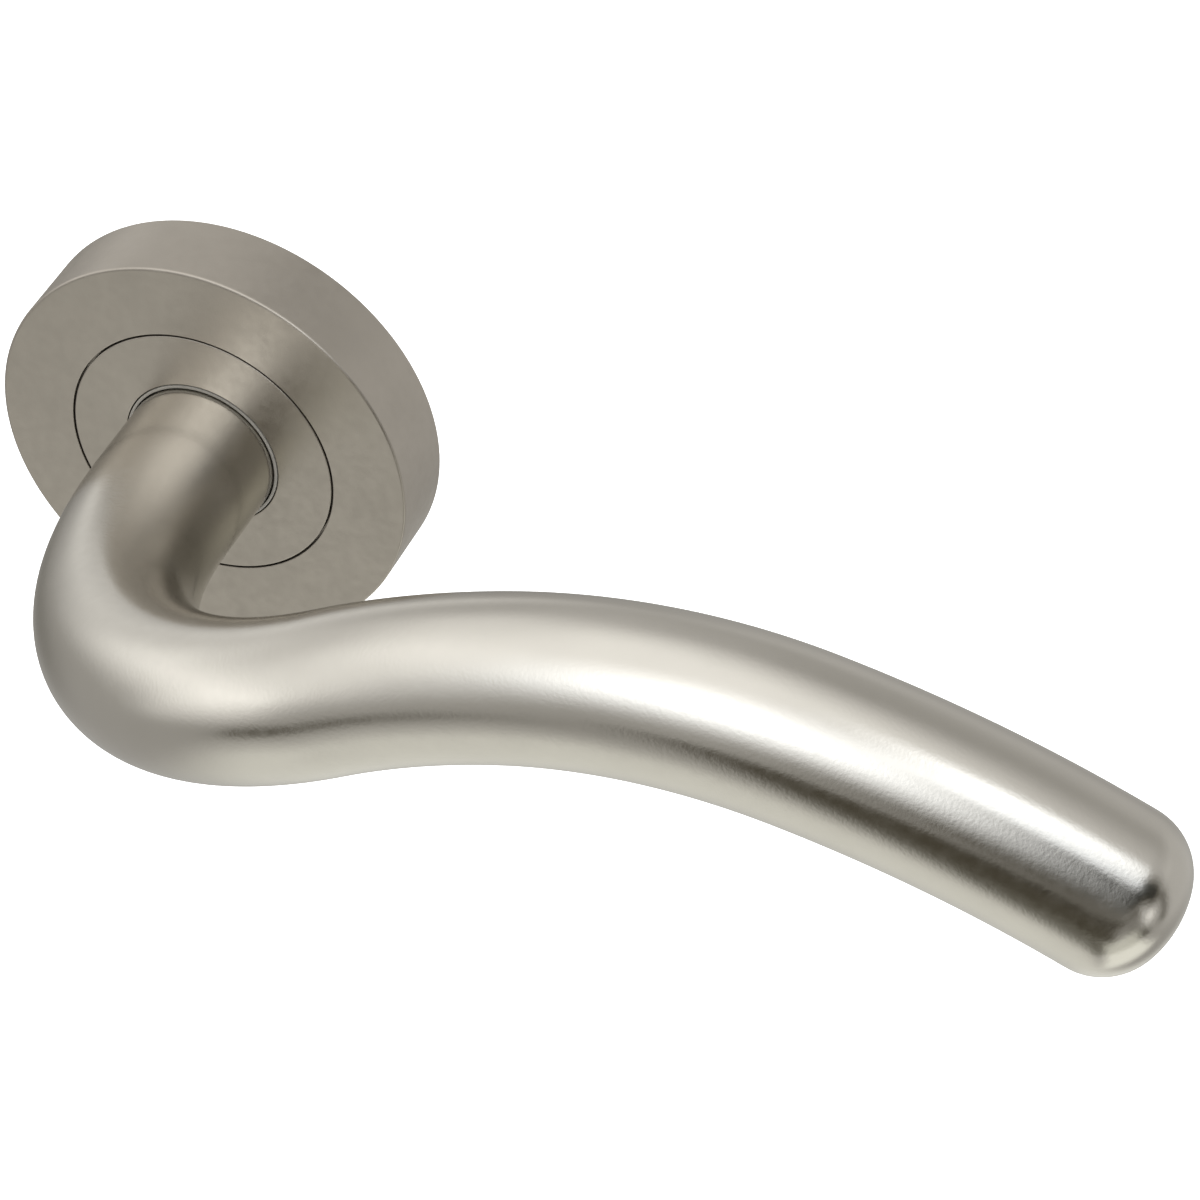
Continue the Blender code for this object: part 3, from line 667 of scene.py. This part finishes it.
def make_rose_base():
    web_hole = BUSH_SEAT
    outline = rounded([
        (BASE_RADIUS, 0.0),
        (BASE_RADIUS, BASE_RIM_FRONT),
        (BASE_RIM_INNER, BASE_RIM_FRONT),
        (BASE_RIM_INNER, BASE_FRONT, 0.4 * MM),
        (web_hole, BASE_FRONT),
        (web_hole, BASE_POCKET_DEPTH),
        (BASE_POCKET_RADIUS, BASE_POCKET_DEPTH, 0.3 * MM),
        (BASE_POCKET_RADIUS, 0.0),
    ], 0.15 * MM)
    base = turned("base_casting", outline, SIDES_ROSE)
    pillar_foot = BASE_FRONT - 1.0 * MM
    pillar = rounded(rod_outline(PILLAR_RADIUS, pillar_foot, PLATE_FLANGE_BACK - GAP), 0.15 * MM)
    pillars = turned_tool([(pillar, at_spot(angle, PILLAR_PITCH_RADIUS)) for angle in PILLAR_ANGLES])
    combine(base, pillars, "UNION")
    combine(base, turned_tool(base_holes()), "DIFFERENCE")
    return base


def base_holes():
    """Countersunk screw holes, post holes and pin holes in the base."""
    screw_hole = [
        (0.0, -GAP),
        (SCREW_HEAD_RADIUS + RING_LINE + GAP, -GAP),
        (SCREW_RADIUS + RING_LINE, SCREW_HEAD_HEIGHT),
        (SCREW_RADIUS + RING_LINE, PLATE_FLANGE_BACK),
        (0.0, PLATE_FLANGE_BACK),
    ]
    post_hole = rod_outline(POST_RADIUS + RING_LINE, -GAP, BASE_FRONT + GAP)
    stop_hole = rod_outline(PIN_HOLE_RADIUS, BASE_POCKET_DEPTH - 1.0 * MM, BASE_FRONT + GAP)
    anchor_hole = rod_outline(PIN_HOLE_RADIUS, -GAP, BASE_FRONT + GAP)
    holes = [(screw_hole, at_spot(angle, PILLAR_PITCH_RADIUS)) for angle in PILLAR_ANGLES]
    holes += [(post_hole, at_spot(angle, POST_SPACING / 2)) for angle in POST_ANGLES]
    for angle in (rest_stop_angle(), turned_stop_angle()):
        holes.append((stop_hole, at_spot(angle, STOP_PIN_PITCH_RADIUS)))
    holes.append((anchor_hole, at_spot(anchor_pin_angle(), ANCHOR_PITCH_RADIUS)))
    return holes


def make_pin(name, angle, pitch_radius, back):
    outline = rounded(rod_outline(STOP_PIN_RADIUS, back, STOP_PIN_FRONT), 0.18 * MM)
    return turned(name, outline, SIDES_SMALL, at_spot(angle, pitch_radius))


def cross_tool(depth, reach, half, length):
    """Tapered cross-shaped tool for a screw's recess: wide outside the head, narrow at its floor."""
    mouth_share, floor_share = 1.5, 0.3
    levels = ((mouth_share, depth - length / 2), (1.0, depth), (floor_share, depth + length))
    source = bmesh.new()
    rings = []
    for share, level in levels:
        tip = max(reach * share, half * 1.05)
        ring = []
        for quarter in range(4):
            turning = Matrix.Rotation(-pi / 2 * quarter, 4, "Y")
            for x, z in ((half, -half), (tip, -half), (tip, half)):
                ring.append(source.verts.new(turning @ Vector((x, -level, z))))
        rings.append(ring)
    skin(source, rings)
    source.faces.new(rings[0])
    source.faces.new(rings[-1])
    return source


def make_plate_screw(name, angle):
    """Countersunk screw with a cross recess, driven from behind the base."""
    tip = PLATE_FLANGE_FRONT - 0.1 * MM
    shank_back = SCREW_HEAD_BACK + SCREW_HEAD_HEIGHT
    plain_shank = 0.5 * MM
    point = 0.3 * MM
    wall_back, wall_front = shank_back + plain_shank, tip - point
    head_land = 0.08 * MM
    outline = [
        (0.0, SCREW_HEAD_BACK),
        (SCREW_HEAD_RADIUS - 0.1 * MM, SCREW_HEAD_BACK),
        (SCREW_HEAD_RADIUS, SCREW_HEAD_BACK + head_land),
        (SCREW_HEAD_RADIUS, SCREW_HEAD_BACK + head_land * 2),
        (SCREW_RADIUS, shank_back),
        (SCREW_RADIUS, wall_back),
        *threaded_wall(SCREW_RADIUS, wall_back, wall_front, SCREW_PITCH),
        (SCREW_RADIUS, wall_front),
        (SCREW_RADIUS - point, tip),
        (0.0, tip),
    ]
    placing = at_spot(angle, PILLAR_PITCH_RADIUS)
    thread = (SCREW_RADIUS, wall_back, wall_front, SCREW_PITCH, -SCREW_THREAD)
    screw = turned(name, outline, SIDES_SMALL, placing, thread)
    recess = cross_tool(SCREW_HEAD_BACK, reach=1.25 * MM, half=0.27 * MM, length=1.0 * MM)
    bmesh.ops.transform(recess, matrix=placing, verts=recess.verts)
    combine(screw, new_object("tool", recess), "DIFFERENCE")
    return screw


def make_fixing_post(name, angle):
    """Threaded barrel for a bolt from the door's other side; its flange bears on the base."""
    flange_back = BASE_FRONT + GAP
    front = flange_back + POST_FLANGE
    back = -POST_LENGTH_IN_DOOR
    outer = rounded([
        (POST_RADIUS, back, 0.3 * MM),
        (POST_RADIUS, flange_back, 0.0),
        (POST_FLANGE_RADIUS, flange_back, 0.1 * MM),
        (POST_FLANGE_RADIUS, front, 0.2 * MM),
        (POST_THREAD_RADIUS + GAP, front, 0.0),
        (POST_THREAD_RADIUS, front - GAP, 0.0),
    ], 0.1 * MM)
    wall = threaded_wall(POST_THREAD_RADIUS, back + GAP, front - GAP, POST_PITCH)
    outline = outer + wall[::-1] + [(POST_THREAD_RADIUS, back + GAP), (POST_THREAD_RADIUS + GAP, back)]
    thread = (POST_THREAD_RADIUS, back + GAP, front - GAP, POST_PITCH, POST_THREAD)
    return turned(name, outline, SIDES_SMALL, at_spot(angle, POST_SPACING / 2), thread)


def spring_leg_angle():
    """Angle at which the moving leg lies, just clockwise of the collar's spring lug."""
    return SPRING_LUG_ANGLE - SPRING_LUG_HALF - (SPRING_WIRE_RADIUS + GAP) / LUG_RADIUS * 180.0 / pi


def coil_start_angle():
    return spring_leg_angle() + SPRING_CORNER / (SPRING_RADIUS - SPRING_CORNER) * 180.0 / pi


def coil_end_angle():
    return coil_start_angle() + 360.0 * SPRING_TURNS


def anchor_pin_angle():
    offset = SPRING_CORNER - SPRING_WIRE_RADIUS - GAP - STOP_PIN_RADIUS
    return coil_end_angle() + offset / ANCHOR_PITCH_RADIUS * 180.0 / pi


def spring_path():
    """Centre line: inward leg, corner, coil, corner, outward leg."""
    corner_steps = 10
    start, end = coil_start_angle(), coil_end_angle()
    front = SPRING_BACK + SPRING_PITCH * SPRING_TURNS
    radial, along = polar(start, 1.0), polar(start + 90.0, 1.0)
    corner_centre = radial * (SPRING_RADIUS - SPRING_CORNER) + Vector((0.0, -front, 0.0))
    leg_end = corner_centre - along * SPRING_CORNER
    leg_length = SPRING_RADIUS - SPRING_CORNER - SPRING_INNER_TIP
    points = [leg_end - radial * leg_length]
    for step in range(corner_steps):
        turn = pi / 2 * (1 - step / corner_steps)
        points.append(corner_centre + SPRING_CORNER * (cos(turn) * radial - sin(turn) * along))
    coil_steps = round(STEPS_ROUND_COIL * SPRING_TURNS)
    for step in range(coil_steps + 1):
        share = step / coil_steps
        depth = front + (SPRING_BACK - front) * share
        points.append(polar(start + (end - start) * share, SPRING_RADIUS, depth))
    radial, along = polar(end, 1.0), polar(end + 90.0, 1.0)
    corner_centre = radial * (SPRING_RADIUS + SPRING_CORNER) + Vector((0.0, -SPRING_BACK, 0.0))
    for step in range(1, corner_steps + 1):
        turn = pi / 2 * step / corner_steps
        points.append(corner_centre + SPRING_CORNER * (sin(turn) * along - cos(turn) * radial))
    points.append(points[-1] + radial * (SPRING_OUTER_TIP - SPRING_RADIUS - SPRING_CORNER))
    return points


def make_return_spring():
    source = bmesh.new()
    frames = frames_along(spring_path())
    rings = [ring_at(source, frame_at, SPRING_WIRE_RADIUS, SIDES_WIRE) for frame_at in frames]
    skin(source, rings)
    source.faces.new(rings[0])
    source.faces.new(rings[-1])
    return new_object("torsion_spring", source)


# ---- materials -----------------------------------------------------------------------------------

# Most of a noise texture's values lie between these two.
NOISE_LOW = 0.3
NOISE_HIGH = 0.7


def noise(tree, vector, size, detail):
    """Noise texture whose features are about one size, in metres, across."""
    texture = tree.nodes.new("ShaderNodeTexNoise")
    texture.inputs["Scale"].default_value = 1.0 / size
    texture.inputs["Detail"].default_value = detail
    tree.links.new(vector, texture.inputs["Vector"])
    return texture.outputs["Fac"]


def ranged(tree, value, low, high):
    """Spread a noise value over a range."""
    spread = tree.nodes.new("ShaderNodeMapRange")
    spread.inputs["From Min"].default_value = NOISE_LOW
    spread.inputs["From Max"].default_value = NOISE_HIGH
    spread.inputs["To Min"].default_value = low
    spread.inputs["To Max"].default_value = high
    tree.links.new(value, spread.inputs["Value"])
    return spread.outputs["Result"]


def finish_material(name, colour, roughness, metallic, grain, relief, mottle, stretch=(1.0, 1.0, 1.0)):
    """A surface with fine grain relief, and colour and roughness that vary from place to place.

    Grain is the relief's feature size and relief its height; mottle is the share the colour varies by.
    """
    cloud_size, cloud_detail = 7.0 * MM, 3.0
    patch_size, patch_detail = 1.2 * MM, 4.0
    patch_variation = 0.12
    grain_detail = 2.0
    material = bpy.data.materials.new(name)
    material.use_nodes = True
    tree = material.node_tree
    shader = tree.nodes["Principled BSDF"]
    shader.inputs["Metallic"].default_value = metallic
    place = tree.nodes.new("ShaderNodeTexCoord")
    stretched = tree.nodes.new("ShaderNodeMapping")
    stretched.inputs["Scale"].default_value = stretch
    tree.links.new(place.outputs["Object"], stretched.inputs["Vector"])

    clouds = noise(tree, place.outputs["Object"], cloud_size, cloud_detail)
    tint = tree.nodes.new("ShaderNodeMix")
    tint.data_type = "RGBA"
    tint.inputs["A"].default_value = (*[part * (1.0 - mottle) for part in colour], 1.0)
    tint.inputs["B"].default_value = (*[part * (1.0 + mottle) for part in colour], 1.0)
    tree.links.new(ranged(tree, clouds, 0.0, 1.0), tint.inputs["Factor"])
    tree.links.new(tint.outputs["Result"], shader.inputs["Base Color"])

    patches = noise(tree, stretched.outputs["Vector"], patch_size, patch_detail)
    smoothest = roughness * (1.0 - patch_variation)
    roughest = roughness * (1.0 + patch_variation)
    tree.links.new(ranged(tree, patches, smoothest, roughest), shader.inputs["Roughness"])

    bump = tree.nodes.new("ShaderNodeBump")
    bump.inputs["Distance"].default_value = relief
    height = noise(tree, stretched.outputs["Vector"], grain, grain_detail)
    tree.links.new(height, bump.inputs["Height"])
    tree.links.new(bump.outputs["Normal"], shader.inputs["Normal"])
    return material


# ---- studio --------------------------------------------------------------------------------------

# Viewpoint, from the same fit to the outlines in the photo.
VIEW_TARGET = Vector((59.4, -30.0, 7.6)) * MM
VIEW_AZIMUTH = radians(26.14)
VIEW_ELEVATION = radians(39.09)
VIEW_ROLL = radians(-5.97)
VIEW_DISTANCE = 0.5
VIEW_LENS = 138.2
SENSOR_WIDTH = 36.0
NEAREST = 0.01
FARTHEST = 40.0
FLOOR_HEIGHT = -0.85
FLOOR_HALF = 12.0
FLOOR_WHITE = 0.9
FLOOR_GLOW = 0.8

# Soft boxes and dark screens far away round the object. Azimuth 0 is in front of the door and 90 on
# the lever's side; the half sizes and the softness of the edges are sines of the angles they fill.
# The rows marked fit, and AMBIENT, come from a program's least-squares fit to the lever's brightness in
# the photo, rounded and in part adjusted. The other rows are not from that fit.
AMBIENT = (0.45, 0.44, 0.42)
DARKEST = (0.02, 0.02, 0.015)
PLAIN = (1.0, 1.0, 1.0)
COOL = (0.95, 1.0, 1.08)
MOSSY = (0.98, 1.0, 0.93)
PANELS = (
    # name, azimuth, elevation, roll, half width, half height, softness, level, tint
    ("overhead", -30, 80, 5, 0.60, 0.60, 0.40, 0.85, PLAIN),  # fit
    ("upper_left", -80, 50, -5, 0.65, 0.15, 0.15, 0.30, PLAIN),  # fit
    ("key", 10, 42, 0, 0.38, 0.28, 0.32, 1.75, COOL),  # fit
    ("key_right", 70, 47, 27, 0.25, 0.19, 0.12, 1.60, COOL),  # fit
    ("side", -80, 20, 0, 0.65, 0.13, 0.30, 1.20, PLAIN),  # fit
    ("side_back", -140, 10, 0, 0.25, 0.10, 0.15, 0.35, PLAIN),
    ("back", 180, 5, 0, 0.25, 0.20, 0.20, 0.15, PLAIN),
    ("side_low", -55, 5, 15, 0.30, 0.20, 0.15, 0.33, PLAIN),  # fit
    ("screen_back", 180, 50, 0, 0.35, 0.15, 0.20, -0.12, PLAIN),
    ("screen_side", -130, -25, 0, 0.40, 0.20, 0.20, -0.20, PLAIN),
    ("screen_left", -30, -16, 0, 0.20, 0.08, 0.10, -0.42, PLAIN),
    ("screen_low", 30, -25, 15, 0.52, 0.40, 0.04, -0.38, PLAIN),  # fit
    ("screen_high", 52, 12, -45, 0.41, 0.56, 0.16, -0.63, PLAIN),  # fit
    ("screen_right", 92, -12, 0, 0.10, 0.30, 0.08, -0.30, PLAIN),
    ("floor_left", -60, -75, -45, 0.25, 0.70, 0.20, 0.50, MOSSY),  # fit
    ("floor_right", 45, -52, -60, 0.43, 0.33, 0.10, 0.77, MOSSY),  # fit
    ("window", 50, -7, 20, 0.40, 0.27, 0.22, 0.85, PLAIN),  # fit
    ("lamp", 70, -8, 0, 0.08, 0.08, 0.06, 0.60, PLAIN),
    ("back_right", 130, -10, 0, 0.55, 0.50, 0.20, 0.20, PLAIN),
)


def outward(azimuth, elevation):
    """Direction away from the object at an azimuth and elevation in radians."""
    return Vector((sin(azimuth) * cos(elevation), -cos(azimuth) * cos(elevation), sin(elevation)))


def place_camera():
    data = bpy.data.cameras.new("camera")
    data.lens = VIEW_LENS
    data.sensor_width = SENSOR_WIDTH
    data.clip_start = NEAREST
    data.clip_end = FARTHEST
    camera = bpy.data.objects.new("camera", data)
    bpy.context.scene.collection.objects.link(camera)
    back = outward(VIEW_AZIMUTH, VIEW_ELEVATION)
    turn = back.to_track_quat("Z", "Y").to_matrix().to_4x4()
    stand = Matrix.Translation(VIEW_TARGET + back * VIEW_DISTANCE)
    camera.matrix_world = stand @ turn @ Matrix.Rotation(VIEW_ROLL, 4, "Z")
    bpy.context.scene.camera = camera


def math_node(tree, operation, *values):
    node = tree.nodes.new("ShaderNodeMath")
    node.operation = operation
    for socket, value in zip(node.inputs, values):
        if isinstance(value, (int, float)):
            socket.default_value = value
        else:
            tree.links.new(value, socket)
    return node.outputs["Value"]


def along(tree, direction, axis):
    node = tree.nodes.new("ShaderNodeVectorMath")
    node.operation = "DOT_PRODUCT"
    node.inputs[1].default_value = axis
    tree.links.new(direction, node.inputs[0])
    return node.outputs["Value"]


def faded(tree, value, limit, softness):
    """1 where a value is under a limit, fading smoothly to 0 above it, on both sides of zero."""
    node = tree.nodes.new("ShaderNodeMapRange")
    node.interpolation_type = "SMOOTHSTEP"
    node.inputs["From Min"].default_value = limit - softness
    node.inputs["From Max"].default_value = limit + softness
    node.inputs["To Min"].default_value = 1.0
    node.inputs["To Max"].default_value = 0.0
    tree.links.new(math_node(tree, "ABSOLUTE", value), node.inputs["Value"])
    return node.outputs["Result"]


def panel_shape(tree, direction, azimuth, elevation, roll, half_width, half_height, softness):
    """How much of a panel lies in a direction: 1 on it, 0 off it, in between along its edge."""
    azimuth, elevation, roll = radians(azimuth), radians(elevation), radians(roll)
    level_side = Vector((cos(azimuth), sin(azimuth), 0.0))
    upright = outward(azimuth, elevation + pi / 2)
    wide = cos(roll) * level_side + sin(roll) * upright
    tall = cos(roll) * upright - sin(roll) * level_side
    across_width = faded(tree, along(tree, direction, wide), half_width, softness)
    across_height = faded(tree, along(tree, direction, tall), half_height, softness)
    facing = math_node(tree, "GREATER_THAN", along(tree, direction, outward(azimuth, elevation)), 0.0)
    return math_node(tree, "MULTIPLY", math_node(tree, "MULTIPLY", across_width, across_height), facing)


def vector_node(tree, operation, *values):
    node = tree.nodes.new("ShaderNodeVectorMath")
    node.operation = operation
    for socket, value in zip(node.inputs, values):
        if isinstance(value, bpy.types.NodeSocket):
            tree.links.new(value, socket)
        else:
            socket.default_value = value
    return node.outputs["Vector"]


def make_world():
    """White behind the object; what the metal mirrors is the ambient level and the panels."""
    world = bpy.data.worlds.new("studio")
    bpy.context.scene.world = world
    world.use_nodes = True
    tree = world.node_tree
    direction = tree.nodes.new("ShaderNodeTexCoord").outputs["Generated"]
    total = AMBIENT
    for _, *place, level, tint in PANELS:
        colour = [part * level for part in tint]
        total = vector_node(tree, "MULTIPLY_ADD", panel_shape(tree, direction, *place), colour, total)
    mirrored = vector_node(tree, "MAXIMUM", total, DARKEST)
    seen = tree.nodes.new("ShaderNodeLightPath").outputs["Is Camera Ray"]
    choice = tree.nodes.new("ShaderNodeMix")
    choice.data_type = "RGBA"
    choice.inputs["B"].default_value = (1.0, 1.0, 1.0, 1.0)
    tree.links.new(seen, choice.inputs["Factor"])
    tree.links.new(mirrored, choice.inputs["A"])
    tree.links.new(choice.outputs["Result"], tree.nodes["Background"].inputs["Color"])


def make_floor():
    source = bmesh.new()
    bmesh.ops.create_grid(source, x_segments=4, y_segments=4, size=FLOOR_HALF)
    floor = new_object("studio_floor", source)
    floor.location = (0.0, 0.0, FLOOR_HEIGHT)
    material = bpy.data.materials.new("white_floor")
    material.use_nodes = True
    shader = material.node_tree.nodes["Principled BSDF"]
    shader.inputs["Base Color"].default_value = (FLOOR_WHITE, FLOOR_WHITE, FLOOR_WHITE, 1.0)
    shader.inputs["Emission Color"].default_value = (1.0, 1.0, 1.0, 1.0)
    shader.inputs["Emission Strength"].default_value = FLOOR_GLOW
    floor.data.materials.append(material)
    floor.visible_glossy = False


place_camera()
make_world()
make_floor()

lever_nickel = finish_material(
    "lever_satin_nickel", (0.598, 0.575, 0.525), roughness=0.20, metallic=1.0,
    grain=0.4 * MM, relief=0.009 * MM, mottle=0.015)
rose_nickel = finish_material(
    "rose_satin_nickel", (0.465, 0.43, 0.38), roughness=0.38, metallic=1.0,
    grain=0.3 * MM, relief=0.004 * MM, mottle=0.03)
cast_zinc = finish_material(
    "cast_zinc", (0.42, 0.42, 0.43), roughness=0.5, metallic=0.9,
    grain=0.5 * MM, relief=0.03 * MM, mottle=0.12)
plated_steel = finish_material(
    "plated_steel", (0.62, 0.64, 0.66), roughness=0.3, metallic=1.0,
    grain=0.25 * MM, relief=0.006 * MM, mottle=0.05, stretch=(1, 12, 1))
spring_steel = finish_material(
    "spring_steel", (0.36, 0.36, 0.38), roughness=0.32, metallic=1.0,
    grain=0.3 * MM, relief=0.008 * MM, mottle=0.08)
black_steel = finish_material(
    "black_oxide", (0.07, 0.07, 0.075), roughness=0.42, metallic=0.9,
    grain=0.2 * MM, relief=0.006 * MM, mottle=0.15)
nylon = finish_material(
    "grey_nylon", (0.25, 0.235, 0.205), roughness=0.5, metallic=0.0,
    grain=0.4 * MM, relief=0.006 * MM, mottle=0.04)

stand_for(make_lever(), "lever", "lever", lever_nickel)
stand_for(make_spindle_socket(), "lever", "spindle_socket", cast_zinc)
stand_for(make_spindle(), "lever", "spindle", plated_steel)
stand_for(make_grub_screw(), "lever", "grub_screw", black_steel)
stand_for(make_drive_collar(), "lever", "drive_collar", plated_steel)
stand_for(make_drive_pin(), "lever", "drive_pin", black_steel)
stand_for(make_retaining_ring(), "lever", "retaining_ring", spring_steel)
stand_for(make_wave_washer(), "lever", "wave_washer", spring_steel)

stand_for(make_cover(), "rose", "rose_cover", rose_nickel)
stand_for(make_bearing_plate(), "rose", "bearing_plate", rose_nickel)
neck_flange_face = PLATE_POCKET_DEPTH - GAP - BUSH_FLANGE
neck_bush = make_bush("neck_sleeve", ROSE_DEPTH + 0.1 * MM, neck_flange_face, front_flange=False)
stand_for(neck_bush, "rose", "neck_bush", nylon)
base_flange_face = BASE_FRONT + GAP + BUSH_FLANGE
base_bush = make_bush("base_sleeve", BASE_POCKET_DEPTH + 0.1 * MM, base_flange_face, front_flange=True)
stand_for(base_bush, "rose", "base_bush", nylon)
stand_for(make_rose_base(), "rose", "rose_base", cast_zinc)
stop_back = BASE_POCKET_DEPTH + 0.1 * MM
rest_pin = make_pin("rest_stop", rest_stop_angle(), STOP_PIN_PITCH_RADIUS, stop_back)
stand_for(rest_pin, "rose", "stop_pin_rest", plated_steel)
turned_pin = make_pin("turned_stop", turned_stop_angle(), STOP_PIN_PITCH_RADIUS, stop_back)
stand_for(turned_pin, "rose", "stop_pin_turned", plated_steel)
anchor_pin = make_pin("spring_anchor", anchor_pin_angle(), ANCHOR_PITCH_RADIUS, ANCHOR_PIN_BACK)
stand_for(anchor_pin, "rose", "spring_anchor_pin", plated_steel)
stand_for(make_return_spring(), "rose", "return_spring", spring_steel)
for number, angle in enumerate(PILLAR_ANGLES, 1):
    screw = make_plate_screw(f"cross_screw_{number}", angle)
    stand_for(screw, "rose", f"plate_screw_{number}", plated_steel)
for number, angle in enumerate(POST_ANGLES, 1):
    post = make_fixing_post(f"bolt_post_{number}", angle)
    stand_for(post, "rose", f"fixing_post_{number}", plated_steel)

bpy.context.scene.view_settings.view_transform = "Standard"
